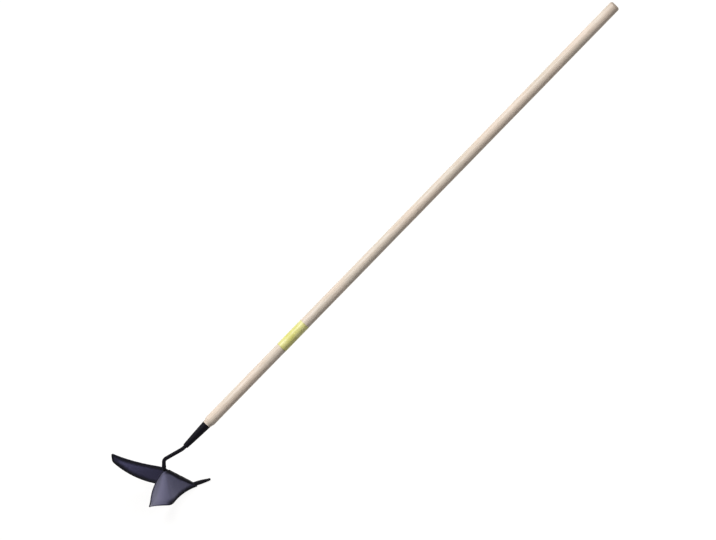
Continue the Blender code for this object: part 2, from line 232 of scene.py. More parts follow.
def makeAsh():
    look = ashLook
    material, tree = newMaterial("ash_turned_and_oiled")
    place = addNode(tree, "TexCoord").outputs["Object"]
    turn = layout["lift"] - math.pi / 2
    c, s = math.cos(turn), math.sin(turn)
    x, _, z = layout["mouth"]
    # along the shaft: rotated so that z runs up it, with 0 at the ferrule's mouth
    shaft = addNode(
        tree, "Mapping",
        {"Location": (-(c * x + s * z), 0.0, s * x - c * z), "Rotation": (0.0, turn, 0.0)},
        {"Vector": place},
    )
    slope = math.radians(look["grainSlope"])
    heart = addNode(
        tree, "Mapping",
        {"Location": (look["pithAway"], 0.4 * look["pithAway"], 0.0), "Rotation": (slope, -slope, 0.0)},
        {"Vector": shaft},
    )
    # each noise becomes a mask: nothing below its first level, all above its second. Real pores are
    # 0.3 mm wide, too fine for the render, so theirs are about 1 mm
    noises, masks = {}, {}
    for name, source in (("fibre", heart), ("pore", heart), ("patch", shaft)):
        grain = look[name]
        drawn = addNode(tree, "Mapping", {"Scale": (1.0, 1.0, grain["stretch"])}, {"Vector": source})
        noises[name] = addNode(
            tree, "TexNoise",
            {"Scale": grain["perMetre"], "Detail": grain["detail"], "Roughness": grain["roughness"]},
            {"Vector": drawn},
        )
        low, high = grain["shows"]
        masks[name] = addNode(
            tree, "MapRange", {"From Min": low, "From Max": high}, {"Value": noises[name]}
        )
    # a rings wave has a period of pi / (10 * scale)
    drawn = addNode(tree, "Mapping", {"Scale": (1.0, 1.0, look["ringStretch"])}, {"Vector": heart})
    rings = addNode(
        tree, "TexWave",
        {"wave_type": "RINGS", "rings_direction": "Z", "wave_profile": "SAW",
         "Scale": math.pi / 10 / look["ringSpacing"], "Distortion": 1.6, "Detail": 2.0,
         "Detail Scale": 0.35},
        {"Vector": drawn},
    ).outputs["Fac"]
    masks["ring"] = addNode(tree, "MapRange", {"From Min": 0.45, "From Max": 1.0}, {"Value": rings})
    # pores open along the rings only, and the sawn end drinks the oil and goes darker
    masks["pore"] = addNode(tree, "Math", {"operation": "MULTIPLY"}, {0: masks["pore"], 1: masks["ring"]})
    masks["end"] = addNode(tree, "Attribute", {"attribute_name": "edge"}).outputs["Fac"]
    tone = addNode(
        tree, "Mix", {"data_type": "RGBA", 6: linear(look["pink"]), 7: linear(look["grey"])},
        {0: masks["patch"]},
    )
    colour = addNode(
        tree, "Mix", {"data_type": "RGBA", 0: look["patchStrength"], 6: linear(look["pale"])}, {7: tone}
    )
    for name, (shade, strength) in look["layers"].items():
        amount = addNode(tree, "Math", {"operation": "MULTIPLY", 1: strength}, {0: masks[name]})
        colour = addNode(tree, "Mix", {"data_type": "RGBA", 7: linear(shade)}, {0: amount, 6: colour})
    dents = addNode(tree, "Math", {"operation": "MULTIPLY", 1: -1.0}, {0: masks["pore"]})
    height = addNode(
        tree, "Math", {"operation": "MULTIPLY_ADD", 1: look["fibreRelief"]}, {0: noises["fibre"], 2: dents}
    )
    bump = addNode(
        tree, "Bump", {"Strength": look["relief"], "Distance": look["reliefDepth"]}, {"Height": height}
    )
    smoothest, roughest = look["roughness"]
    rough = addNode(
        tree, "MapRange", {"From Min": 0.3, "From Max": 0.8, "To Min": smoothest, "To Max": roughest},
        {"Value": noises["fibre"]},
    )
    shader = addNode(
        tree, "BsdfPrincipled", {"IOR": 1.48}, {"Base Color": colour, "Roughness": rough, "Normal": bump}
    )
    addNode(tree, "OutputMaterial", {}, {"Surface": shader})
    return material


# Stoved enamel, sprayed on steel and baked: an even satin skin with a faint orange peel, thin and
# rubbed through to grey steel on the sharp edges. The boards' coat is blue-grey, with a painted
# highlight that lightens the wing and a band beside the fold, thin and matt on the hollow side, and
# nearly black in margins along the edges, with a painted shadow along the sole and painted shade over
# the front panel and the hollow side. The forged parts' is nearly black and matt, over the shallow
# dents that the hammer left.
boardPaint = {
    "name": "blue_grey_enamel_on_pressed_steel",
    "colour": "45446a",
    "dusty": "514f70",
    # the first zone is a painted highlight, the last dark margins with painted shadow and painted shade
    "zones": {"painted_highlight": "76749a", "hollow": "6d6b93", "dark_margin_and_painted_shade": "0b0a12"},  # one over the other
    "roughness": (0.31, 0.44),
    "shine": 0.5,
    "mattRoughness": 0.72,  # of the hollow side and the dark margins
    "mattShine": 0.12,
    "peel": 2.6 * mm,  # real orange peel is about 1 mm across, too fine to show
    "peelDepth": 0.12 * mm,
    "dents": 16 * mm,
    "dentDepth": 0.40 * mm,
    "wear": 0.36,
}
blackPaint = {
    "name": "black_enamel_on_forged_steel",
    "colour": "0c0a13",
    "dusty": "16141c",
    "zones": {},
    "roughness": (0.51, 0.64),
    "shine": 0.08,
    "peel": 1.8 * mm,
    "peelDepth": 0.08 * mm,
    "dents": 6 * mm,
    "dentDepth": 0.48 * mm,
    "wear": 0.38,
}
enamelWear = {
    "cloudsPerMetre": 22.0,  # of dust
    "dustStrength": 0.5,
    "chipsPerMetre": 320.0,
    "chipDepth": 0.05 * mm,
    "bareSteel": "8d8b8a",
}


def makeEnamel(look):
    worn = enamelWear
    material, tree = newMaterial(look["name"])
    place = addNode(tree, "TexCoord").outputs["Object"]
    cloud = addNode(
        tree, "TexNoise", {"Scale": worn["cloudsPerMetre"], "Detail": 3.0, "Roughness": 0.55},
        {"Vector": place},
    )
    dust = addNode(
        tree, "MapRange", {"From Min": 0.40, "From Max": 0.75, "To Max": worn["dustStrength"]},
        {"Value": cloud},
    )
    coat = addNode(
        tree, "Mix", {"data_type": "RGBA", 6: linear(look["colour"]), 7: linear(look["dusty"])}, {0: dust}
    )
    zones = {}
    # on the boards: a painted highlight, the hollow side's primer, dark margins with painted shade
    for zone, shade in look["zones"].items():
        zones[zone] = addNode(tree, "Attribute", {"attribute_name": zone}).outputs["Fac"]
        coat = addNode(tree, "Mix", {"data_type": "RGBA", 7: linear(shade)}, {0: zones[zone], 6: coat})
    # the coat is gone where an edge's wear, times an uneven noise, passes a limit
    edge = addNode(tree, "Attribute", {"attribute_name": "edge"}).outputs["Fac"]
    chips = addNode(
        tree, "TexNoise", {"Scale": worn["chipsPerMetre"], "Detail": 5.0, "Roughness": 0.65},
        {"Vector": place},
    )
    rubbed = addNode(tree, "Math", {"operation": "MULTIPLY"}, {0: edge, 1: chips})
    bare = addNode(
        tree, "MapRange", {"From Min": 1.0 - look["wear"], "From Max": 1.06 - look["wear"]},
        {"Value": rubbed},
    )
    colour = addNode(tree, "Mix", {"data_type": "RGBA", 7: linear(worn["bareSteel"])}, {0: bare, 6: coat})
    # the bumps are laid over one another: wide dents, fine peel and the chips' hollows
    bump = None
    for size, depth in (("dents", "dentDepth"), ("peel", "peelDepth")):
        height = addNode(tree, "TexNoise", {"Scale": 1.0 / look[size], "Detail": 1.0}, {"Vector": place})
        under = {"Normal": bump} if bump else {}
        bump = addNode(tree, "Bump", {"Distance": look[depth]}, {"Height": height, **under})
    chipped = addNode(tree, "Math", {"operation": "MULTIPLY", 1: -1.0}, {0: bare})
    bump = addNode(tree, "Bump", {"Distance": worn["chipDepth"]}, {"Height": chipped, "Normal": bump})
    smoothest, roughest = look["roughness"]
    rough = addNode(
        tree, "MapRange", {"From Min": 0.35, "From Max": 0.7, "To Min": smoothest, "To Max": roughest},
        {"Value": cloud},
    )
    links = {"Base Color": colour, "Metallic": bare, "Normal": bump}
    if zones:
        matt = addNode(tree, "Math", {"operation": "MAXIMUM"}, {0: zones["hollow"], 1: zones["dark_margin_and_painted_shade"]})
        rough = addNode(tree, "Mix", {3: look["mattRoughness"]}, {0: matt, 2: rough})
        shine = addNode(tree, "Mix", {2: look["shine"], 3: look["mattShine"]}, {0: matt})
        links["Specular IOR Level"] = shine
    links["Roughness"] = rough
    shader = addNode(tree, "BsdfPrincipled", {"IOR": 1.5, "Specular IOR Level": look["shine"]}, links)
    addNode(tree, "OutputMaterial", {}, {"Surface": shader})
    return material


# Soft vinyl film, printed yellow and stuck round the wood: satin, with the faint waves of the wood
# and of the glue under it, and cut edges that have picked up dirt.
filmLook = {
    "colour": "e9e59a",
    "deep": "dfdb7c",
    "dirt": "a5a066",
    "dirtStrength": 0.7,
    "washesPerMetre": 30.0,  # of deeper colour
    "roughness": (0.33, 0.45),
    "waves": 9 * mm,
    "waveDepth": 0.3 * mm,
}


def makeFilm():
    look = filmLook
    material, tree = newMaterial("yellow_vinyl_film")
    place = addNode(tree, "TexCoord").outputs["Object"]
    wash = addNode(tree, "TexNoise", {"Scale": look["washesPerMetre"], "Detail": 2.0}, {"Vector": place})
    washed = addNode(tree, "MapRange", {"From Min": 0.40, "From Max": 0.62}, {"Value": wash})
    printed = addNode(
        tree, "Mix", {"data_type": "RGBA", 6: linear(look["colour"]), 7: linear(look["deep"])}, {0: washed}
    )
    edge = addNode(tree, "Attribute", {"attribute_name": "edge"}).outputs["Fac"]
    dirty = addNode(tree, "Math", {"operation": "MULTIPLY", 1: look["dirtStrength"]}, {0: edge})
    colour = addNode(tree, "Mix", {"data_type": "RGBA", 7: linear(look["dirt"])}, {0: dirty, 6: printed})
    waves = addNode(tree, "TexNoise", {"Scale": 1.0 / look["waves"], "Detail": 2.0}, {"Vector": place})
    bump = addNode(tree, "Bump", {"Distance": look["waveDepth"]}, {"Height": waves})
    smoothest, roughest = look["roughness"]
    rough = addNode(
        tree, "MapRange", {"From Min": 0.3, "From Max": 0.7, "To Min": smoothest, "To Max": roughest},
        {"Value": wash},
    )
    shader = addNode(
        tree, "BsdfPrincipled", {"IOR": 1.52}, {"Base Color": colour, "Roughness": rough, "Normal": bump}
    )
    addNode(tree, "OutputMaterial", {}, {"Surface": shader})
    return material


finishes = {
    "ash": makeAsh(),
    "board_paint": makeEnamel(boardPaint),
    "black_paint": makeEnamel(blackPaint),
    "label_film": makeFilm(),
}
print("materials made")


# The shaft, straight and turned, with a swollen shoulder above the ferrule and a rounded top end.
handle = {
    "length": 1500 * mm,
    "radius": 14 * mm,
    "inFerrule": 46 * mm,
    "endRound": 6 * mm,
    "shoulder": 14 * mm,
    "seatRound": 0.5 * mm,  # the shoulder's lower edge
    "boreDeeper": 2 * mm,  # than the tang's tip
    "unevenness": 0.12 * mm,  # the lathe and the sander leave it this far from true
    "waves": 45 * mm,
    "endDark": (0.8, 7 * mm, 5.5 * mm),  # how much, from how far below the end, over what length
    "handDark": (0.2, 48 * mm, 36 * mm),
    "stationSpacing": 5 * mm,
    "endCount": 14,
    "shoulderCount": 16,
    "seatCount": 6,
    "coneCount": 10,
    "aroundCount": 72,
}
ferrule = {
    "length": 76.5 * mm,
    "mouthRadius": 11.25 * mm,
    "endRadius": 6.8 * mm,
    "wall": 1.1 * mm,
    "flats": 9 * mm,  # that the rollers leave
    "flatDepth": 0.02 * mm,
    "mouthWear": 1.2 * mm,  # how far the paint is rubbed at each end
    "endWear": 1.0 * mm,
    "stationsFrom": 0.5 * mm,  # each end
    "alongCount": 50,
    "lipCount": 9,
    "aroundCount": 96,
}
tang = {
    "pastMouth": 36 * mm,
    "tipRadius": 2.6 * mm,
    "rootRadius": 4.3 * mm,
}


def ferruleRadius(along):
    # outer radius of the cone: end + (mouth - end) * part of the way up to the power 0.85
    part = np.clip(1.0 + along / ferrule["length"], 0.0, 1.0)
    return between(ferrule["endRadius"], ferrule["mouthRadius"], part**0.85)


def tangRadius(along):
    # straight taper from the root, at the ferrule's lower end, to the tip in the wood
    part = (along + ferrule["length"]) / (tang["pastMouth"] + ferrule["length"])
    return between(tang["rootRadius"], tang["tipRadius"], part)


def makeHandle():
    h, gap = handle, layout["gap"]
    top = h["length"] - h["inFerrule"]
    topArc = arc((h["radius"] - h["endRound"], top - h["endRound"]), h["endRound"], 90, 0, h["endCount"])
    count = int((top - h["endRound"] - h["shoulder"]) / h["stationSpacing"])
    straight = np.linspace(top - h["endRound"], gap + h["shoulder"], count)[1:-1]
    straight = np.stack([np.full(len(straight), h["radius"]), straight], -1)
    # the shoulder swells as half a cosine wave, then rounds over its seat on the ferrule
    part = np.linspace(0, 1, h["shoulderCount"])
    neck, low = ferrule["mouthRadius"], gap + h["seatRound"]
    swollen = between(neck, h["radius"], 0.5 + 0.5 * np.cos(math.pi * part))
    shoulder = np.stack([swollen, low + (h["shoulder"] - h["seatRound"]) * (1 - part)], -1)
    seat = arc((neck - h["seatRound"], low), h["seatRound"], 0, -90, h["seatCount"])[1:]
    along = np.linspace(gap, -h["inFerrule"], h["coneCount"])
    cone = np.stack([ferruleRadius(along) - ferrule["wall"] - gap, along], -1)
    bore = np.array([
        [tangRadius(-h["inFerrule"]) + gap, -h["inFerrule"]],
        [tangRadius(tang["pastMouth"]) + gap, tang["pastMouth"] + h["boreDeeper"]],
    ])
    profile = np.concatenate([topArc, straight, shoulder, seat, cone, bore])
    rings = turned(profile, h["aroundCount"])
    # the wood is uneven in waves drawn out along it, which run from about -1.6 to 1.6; each point
    # moves in along its ring's radius, never out
    out = unit(rings - rings.mean(1, keepdims=True))
    rough = (unevenness(rings * [0.35, 1, 0.35], h["waves"], 3) - 1.6) * h["unevenness"] / 3.2
    outside = np.arange(len(profile)) < len(topArc) + len(straight)
    fade = smooth((profile[:, 1] - 20 * mm) / (30 * mm)) * outside
    rings = rings + out * (np.clip(rough, -h["unevenness"], 0) * fade[:, None])[..., None]
    points, faces = capped(rings)
    # the sawn end drinks the oil, and hands have darkened the wood near it
    cut = sum(
        strength * smooth((upShaft(points) - (top - below)) / over)
        for strength, below, over in (h["endDark"], h["handDark"])
    )
    addPiece("ash_handle", points, faces, "ash", "handle", edge=cut)


def makeFerrule():
    f = ferrule
    wall, length = f["wall"], f["length"]
    innerEnd = max(f["endRadius"] - wall, shank["neckRadius"] + layout["gap"])
    endWall = f["endRadius"] - innerEnd
    # both ends are rolled over: a half circle as wide as the wall joins its outside and inside
    along = np.linspace(-f["stationsFrom"], f["stationsFrom"] - length, f["alongCount"])
    along = along[(along < -wall / 2) & (along > endWall / 2 - length)]
    outer = np.stack([ferruleRadius(along), along], -1)
    inner = np.stack([np.maximum(ferruleRadius(along) - wall, innerEnd), along], -1)[::-1]
    mouthLip = arc((f["mouthRadius"] - wall / 2, -wall / 2), wall / 2, 180, 0, f["lipCount"])
    endLip = arc((f["endRadius"] - endWall / 2, endWall / 2 - length), endWall / 2, 0, -180, f["lipCount"])
    rings = turned(np.concatenate([mouthLip, outer, endLip, inner]), f["aroundCount"])
    # drawn over a mandrel with rollers: shallow flats run along it
    out = unit(rings - rings.mean(1, keepdims=True))
    flats = (unevenness(rings * [0.3, 1, 0.3], f["flats"], 8) + 2) * f["flatDepth"]
    rings = rings - out * flats[..., None]
    faces = gridFaces(*rings.shape[:2], wrapRows=True, wrapColumns=True)
    points = rings.reshape(-1, 3)
    up = upShaft(points)
    edge = np.clip(np.exp(up / f["mouthWear"]) + np.exp(-(up + length) / f["endWear"]), 0, 1)
    addPiece("steel_ferrule", points, faces, "black_paint", "ferrule", edge=edge)


# The rivet through ferrule, wood and tang, its heads set with a hammer.
pin = {
    "fromMouth": 22 * mm,
    "radius": 1.5 * mm,
    "headRadius": 3 * mm,
    "headHeight": 1.4 * mm,
    "headRim": 0.3 * mm,  # the straight edge under the dome
    "underside": 0.97,  # the head narrows to this share of its radius where it sits
    "sunk": 0.1 * mm,  # into the ferrule
    "dents": 2.5 * mm,
    "dentDepth": 0.05 * mm,
    "wear": 0.9,
    "domeCount": 12,
    "aroundCount": 40,
}


def makePin():
    p = pin
    centre = layout["mouth"] - shaftAxis * p["fromMouth"]
    seat = float(ferruleRadius(-p["fromMouth"])) - p["sunk"]
    # the dome: radius * cos(a)^0.8 wide, height * sin(a) high, a little flat on top
    a = np.radians(np.linspace(0, 86, p["domeCount"]))
    dome = seat + p["headRim"] + p["headHeight"] * np.sin(a)
    head = np.stack([p["headRadius"] * np.cos(a) ** 0.8, dome], -1)
    half = np.concatenate([[[p["radius"], seat], [p["headRadius"] * p["underside"], seat]], head])
    profile = np.concatenate([half[::-1] * [1, -1], half])
    angles = onceRound(p["aroundCount"])
    across = np.stack([np.cos(angles), 0 * angles, np.sin(angles)], -1)
    rings = centre + profile[:, 0, None, None] * across + profile[:, 1, None, None] * side
    dents = unevenness(rings, p["dents"], 5) * p["dentDepth"]
    rings = rings + dents[..., None] * unit(rings - centre)
    points, faces = capped(rings)
    out = np.abs((points - centre)[:, 1]) - seat
    edge = smooth(out / p["headHeight"]) * p["wear"]
    addPiece("ferrule_rivet", points, faces, "black_paint", "ferrule_pin", edge=edge)


# The film round the shaft: one strip whose end laps over its start, on the side turned down.
label = {
    "fromMouth": 268 * mm,
    "length": 83 * mm,
    "film": 0.25 * mm,
    "under": 14.04 * mm,  # radius of the film's inner face on the wood
    "lap": 7 * mm,
    "lapRise": 0.3 * mm,
    "climbFrom": 2 * mm,  # before the lap the end starts to climb over the start
    "climbOver": 2.5 * mm,
    "seamAngle": 200,  # degrees round the shaft from its left side
    "waviness": 0.015 * mm,
    "dirtWidth": 0.8 * mm,
    "roundCount": 180,
    "alongCount": 60,
}


def strip(outer, inner):
    # a sheet between two grids of points, closed round its edge
    size = outer.size // 3
    front = gridFaces(*outer.shape[:2])
    loop = edgeLoop(*outer.shape[:2])
    after = np.roll(loop, -1)
    back, rim = front[:, ::-1] + size, np.stack([loop, after, after + size, loop + size], -1)
    points = np.concatenate([outer.reshape(-1, 3), inner.reshape(-1, 3)])
    return points, np.concatenate([front, back, rim])


def edgeLoop(rows, columns):
    # numbers of the grid's outline points, once round
    i, j = np.arange(rows), np.arange(columns)
    last = (rows - 1) * columns
    return np.concatenate([i * columns, last + j[1:], i[-2::-1] * columns + columns - 1, j[-2:0:-1]])


def makeLabel():
    w = label
    turnLength = 2 * math.pi * w["under"]
    run = np.linspace(0, turnLength + w["lap"], w["roundCount"])
    angles = math.radians(w["seamAngle"]) + run / w["under"]
    # the end climbs over the start: the radius rises by a film's thickness as an eased step
    rise = w["lapRise"] * smooth((run - turnLength + w["climbFrom"]) / w["climbOver"])
    along = w["fromMouth"] + np.linspace(0, w["length"], w["alongCount"])
    outwards = np.cos(angles)[:, None] * side + np.sin(angles)[:, None] * shaftFront
    circle = np.stack([np.cos(angles), np.sin(angles), 0 * angles], -1)
    lift = w["waviness"] * unevenness(circle, 0.9, 4)

    def face(height):
        radius = w["under"] + height + rise + lift
        return layout["mouth"] + outwards[:, None] * radius[:, None, None] + along[:, None] * shaftAxis

    points, faces = strip(face(w["film"]), face(0.0))
    fromStart = upShaft(points) - w["fromMouth"]
    fromEnd = np.minimum(fromStart, w["length"] - fromStart)
    edge = np.exp(-fromEnd / w["dirtWidth"])
    addPiece("film_label", points, faces, "label_film", "label", edge=edge)


# The shank: tang, round swan neck and, below the boards' rim, the flat stem, in one forging.
shank = {
    "neckRadius": 5 * mm,
    "neckLift": math.atan(0.270),  # slope between the neck's two bends
    "topBend": 34 * mm,
    "dropBend": 9.5 * mm,
    "drop": 32.8 * mm,
    "stemBend": 20 * mm,
    "thickensFrom": 4 * mm,  # above the ferrule's end, where the tang swells to the neck
    "thickensOver": 10 * mm,
    "tangBelow": 12 * mm,  # the ferrule's end, where the tang is over
    "drawnFrom": 20 * mm,  # above the stem's corner, where the neck starts to flatten
    "drawnOver": 14 * mm,
    "squareness": 2.5,  # of the stem
    "cutStretch": 8 * mm,  # left to the slanted cut on the share's top
    "hammered": 0.09 * mm,
    "hammerMarks": 8 * mm,
    "spacing": 1.0 * mm,
    "cutCount": 9,
    "aroundCount": 56,
}
share = {
    "tailX": -34 * mm,
    "noseX": 52.5 * mm,
    "height": 9 * mm,
    "chamfer": 1.2 * mm,
    "noseLength": 34 * mm,
    "tipHalfWidth": 1.8 * mm,
    "tipLow": 0.6 * mm,
    "tipHigh": 6.4 * mm,
    "endRound": 1.2 * mm,
    "endInset": 1.0 * mm,
    "dents": 9 * mm,
    "dentDepth": 0.06 * mm,
    "tipWear": 9 * mm,  # how far back from the nose the paint is rubbed
    "tailStations": np.array([0, 0.15, 0.5, 1.2]) * mm,  # from the tail's end
    "barFrom": 3 * mm,
    "barCount": 18,
    "noseCount": 46,
    "aroundCount": 64,
}


def filletedPath(corners, radii, spacing):
    # straight runs with an arc in each inner corner: start + across * r (1 - cos a) + into * r sin a
    points, ways = [], []
    here = corners[0]
    for before, corner, after, radius in zip(corners, corners[1:], corners[2:], radii):
        into, out = unit(corner - before), unit(after - corner)
        turn = math.acos(float(into @ out))
        start = corner - into * radius * math.tan(turn / 2)
        across = unit(out - into * (into @ out))
        count = max(2, int(np.linalg.norm(start - here) / spacing))
        part = np.arange(count)[:, None] / count
        points.append(between(here, start, part))
        ways.append(np.repeat(into[None], count, 0))
        a = np.linspace(0, turn, max(8, int(radius * turn / spacing)), endpoint=False)[:, None]
        points.append(start + across * radius * (1 - np.cos(a)) + into * radius * np.sin(a))
        ways.append(into * np.cos(a) + across * np.sin(a))
        here = start + across * radius * (1 - math.cos(turn)) + into * radius * math.sin(turn)
    count = max(2, int(np.linalg.norm(corners[-1] - here) / spacing))
    part = np.linspace(0, 1, count)[:, None]
    points.append(between(here, corners[-1], part))
    ways.append(np.repeat(unit(corners[-1] - here)[None], count, 0))
    return np.concatenate(points), np.concatenate(ways)


def makeShank():
    k = shank
    neckTop = stemCorner + [0.0, 0.0, k["drop"]]
    slope, neckSlope = shaftAxis[2] / shaftAxis[0], math.tan(k["neckLift"])
    mouth = layout["mouth"]
    reach = mouth[2] - neckTop[2] - slope * (mouth[0] - neckTop[0])
    bend = neckTop + np.array([1.0, 0.0, neckSlope]) * reach / (neckSlope - slope)
    level = share["height"] + layout["gap"]
    foot = stemCorner + stemAxis * (stemCorner[2] - level) / -stemAxis[2]
    lastRing = foot - stemAxis * k["cutStretch"]
    tip = mouth + shaftAxis * tang["pastMouth"]
    bends = [k["topBend"], k["dropBend"], k["stemBend"]]
    points, ways = filletedPath([tip, bend, neckTop, stemCorner, lastRing], bends, k["spacing"])
    along = upShaft(points)
    below = smooth((-along - ferrule["length"] + k["thickensFrom"]) / k["thickensOver"])
    before = np.cumsum(np.linalg.norm(np.diff(points, axis=0, prepend=points[:1]), axis=1))
    inTang = before < tang["pastMouth"] + ferrule["length"] + k["tangBelow"]
    radius = np.where(inTang, tangRadius(along) * (1 - below) + k["neckRadius"] * below, k["neckRadius"])
    flat = smooth((stemCorner[2] + k["drawnFrom"] - points[:, 2]) / k["drawnOver"]) * ~inTang
    halfWidth = between(radius, layout["stemHalfWidth"], flat)
    halfDepth = between(radius, layout["stemHalfDepth"], flat)
    # rings across the path: side * width * c + normal * depth * s, with c and s the cosine and sine of
    # the angle to the power 2 / (2 + squareness), so 0 is oval and 2 nearly a bar
    a = onceRound(k["aroundCount"])[None, :]
    power = (2 / (2 + k["squareness"] * flat))[:, None]
    c = np.sign(np.cos(a)) * np.abs(np.cos(a)) ** power * halfWidth[:, None]
    s = np.sign(np.sin(a)) * np.abs(np.sin(a)) ** power * halfDepth[:, None]
    rings = points[:, None] + c[..., None] * side + s[..., None] * np.cross(ways, side)[:, None]
    # the slanted cut: each point runs on along the stem to the level of the share's top
    end = rings[-1] + stemAxis * ((level - rings[-1][:, 2]) / stemAxis[2])[:, None]
    steps = np.linspace(0, 1, k["cutCount"])
    rings = np.concatenate([rings, between(rings[-1], end, steps[1:, None, None])])
    out = unit(rings - rings.mean(1, keepdims=True))
    hammer = (unevenness(rings, k["hammerMarks"], 21) - 1.2) * k["hammered"] / 2
    fade = np.ones(len(rings))
    fade[-k["cutCount"]:] = 1 - steps
    rings = rings + out * (hammer * fade[:, None])[..., None]
    points, faces = capped(rings)
    addPiece("forged_shank", points, faces, "black_paint", "shank")


def makeShare():
    # rounded bars along x: corner centres at (half - cut, mid height - cut), swept by cut * (cos, sin)
    s = share
    start = s["noseX"] - s["noseLength"]
    x = np.concatenate([
        s["tailX"] + s["tailStations"],
        np.linspace(s["tailX"] + s["barFrom"], start, s["barCount"]),
        np.linspace(start, s["noseX"], s["noseCount"])[1:],
    ])
    nose = np.clip((x - start) / s["noseLength"], 0, 1)
    half = between(layout["stemHalfWidth"], s["tipHalfWidth"], nose**1.6)
    low = s["tipLow"] * np.clip(2 * nose - 1, 0, 1) ** 2
    high = between(s["height"], s["tipHigh"], nose**1.4)
    # the tail's and the tip's ends are rounded: inset * (1 - sqrt(1 - (1 - way in)^2))
    wayIn = np.clip(np.minimum(x - s["tailX"], s["noseX"] - x) / s["endRound"], 0, 1)
    inset = np.minimum(0.35 * half, s["endInset"]) * (1 - np.sqrt(1 - (1 - wayIn) ** 2))
    half, high, low = half - inset, high - inset, low + inset
    cut = np.minimum(s["chamfer"], 0.45 * np.minimum(half, (high - low) / 2))
    around = s["aroundCount"]
    a = onceRound(around) + math.pi / around
    across, up = np.cos(a), np.sin(a)
    y = np.sign(across) * (half - cut)[:, None] + cut[:, None] * across
    middle = ((high + low) / 2)[:, None]
    z = middle + np.sign(up) * ((high - low) / 2 - cut)[:, None] + cut[:, None] * up
    rings = np.stack([np.repeat(x[:, None], around, 1), y, z], -1)
    dent = (unevenness(rings, s["dents"], 31) - 1.5) * s["dentDepth"] * smooth(nose * 3)[:, None]
    rings = rings + np.stack([dent * 0, dent * np.sign(across), dent * (up > 0)], -1)
    points, faces = capped(rings)
    corner = np.abs(across * up) * 2
    edge = (0.55 + 0.45 * smooth((nose - 0.5) * 2))[:, None] * smooth((corner[None] - 0.2) * 1.4)
    edge = np.maximum(edge, 0.95 * smooth((x - s["noseX"] + s["tipWear"]) / s["tipWear"])[:, None])
    edge = np.concatenate([edge.ravel(), [0.0, 1.0]])
    addPiece("share_nose", points, faces, "black_paint", "share_point", edge=edge)


# A mouldboard: a pressed plate, folded from the neck down to its lower rear corner. Its front panel
# runs down the stem to the share, its wing flares back to a blunt tip.
board = {
    "plate": 3 * mm,
    "corner": np.array([-80, 51, 6]) * mm,  # lower rear corner of the left board
    "flare": 1.95,
    "tipTop": np.array([-166.5, 110, 92]) * mm,
    "tipFoot": np.array([-168, 103, 71.5]) * mm,
    "rimBow": np.array([-6.5, -4.2, 1.0]) * mm,
    "rearBow": np.array([-7.5, -7.0, -1.0]) * mm,
    "stemProud": 1.5 * mm,
    "frontHeight": 9.5 * mm,
    "frontSlant": 10 * mm,
    "fold": 0.12,
    "edgeRound": 0.9 * mm,  # the sheared edges are ground round by this radius
    "tipRound": 5.5 * mm,
    "pressed": 0.10 * mm,  # the press leaves the sheet this far from true
    "waves": 42 * mm,
    "trueMargin": 8 * mm,  # but not at its edges
    "trueEnds": 0.1,  # nor, in t, at its ends
    "soleTurn": 14 * mm,  # over the sole, where the plate's thickness turns level
    "lengthOfT": 100 * mm,  # about one unit of t along the board
    "edgeWear": 1.1 * mm,  # how far in the paint is rubbed
    "rimDarkWidth": 8.3 * mm,  # width of the dark margin along the rim
    "soleShadowWidth": 12.8 * mm,  # along the sole, where it is a painted shadow
    "rearDarkWidth": 4.0 * mm,  # along the rising rear edge
    "innerRimShadeWidth": 13.5 * mm,  # the same on the hollow side, where it is painted shade
    "innerSoleShadeWidth": 19.0 * mm,
    "edgeDark": 0.9,  # how dark the sheared edges are
    "ragged": ((0.10, 36 * mm, 41), (0.03, 9 * mm, 42)),  # the margin's waves: height, length, seed
    "frontShade": 0.12,  # painted shade: how much darker the front panel is
    "foldHighlight": 0.90,  # painted highlight: how much lighter the band beside the fold is
    # changes along the board: how much, where in t, over how much of t, how much sooner at the rim
    "marginFades": (0.85, 1.02, 0.2, 0.12),
    "rearFades": (0.6, 1.1, 0.7, 0.0),
    "frontEnds": (1.0, 0.98, 0.1, 0.0),
    "hollowShade": (0.18, 1.0, 0.6, 0.0),  # painted shade on the hollow side away from the stem
    "tipShade": (0.65, 1.72, 0.16, 0.0),  # and more painted shade at its tip
    # a painted highlight over the wing
    "wingHighlight": (0.12, 0.97, 0.08, 0.0),
    # the painted highlight band's middle and half width in t, at the rim and how much more at the sole
    "bandMiddle": (1.04, 0.45),
    "bandHalf": (0.07, 0.33),
    "frontCount": 80,
    "foldCount": 36,
    "wingCount": 84,
    "upCount": 64,
    "edgeCount": 6,
}
flank = layout["stemHalfWidth"] + layout["gap"] + board["plate"]


def blend(a, b, f):
    return between(a, b, f[..., None])


def bow(f):
    # a parabola that is 1 in the middle and 0 at both ends
    return (4 * f * (1 - f))[..., None]


def upperEdge(t):
    # t 0 to 1 runs up the stem, t 1 to 2 along the level rim, a straight line with a bow
    b = board
    line = stemCorner + stemFront * (layout["stemHalfDepth"] - b["stemProud"])
    top, foot = (
        line + stemAxis * (line[2] - level) / -stemAxis[2] + side * flank
        for level in (layout["ridgeTop"], b["frontHeight"])
    )
    front = blend(foot, top, t)
    wing = blend(top, b["tipTop"], t - 1) + b["rimBow"] * bow(t - 1)
    return np.where((t <= 1)[..., None], front, wing)


def lowerEdge(t):
    # t 0 to 1 is the sole line, which sweeps out by a power law; t 1 to 2 the rising rear edge
    b = board
    front = upperEdge(np.array(0.0))[0] + b["frontSlant"]
    inner = np.clip(t, 0, 1)
    out = between(flank, b["corner"][1], inner ** b["flare"])
    sole = np.stack([between(front, b["corner"][0], inner), out, b["corner"][2] * inner**2], -1)
    rear = blend(b["corner"], b["tipFoot"], t - 1) + b["rearBow"] * bow(t - 1)
    return np.where((t <= 1)[..., None], sole, rear)


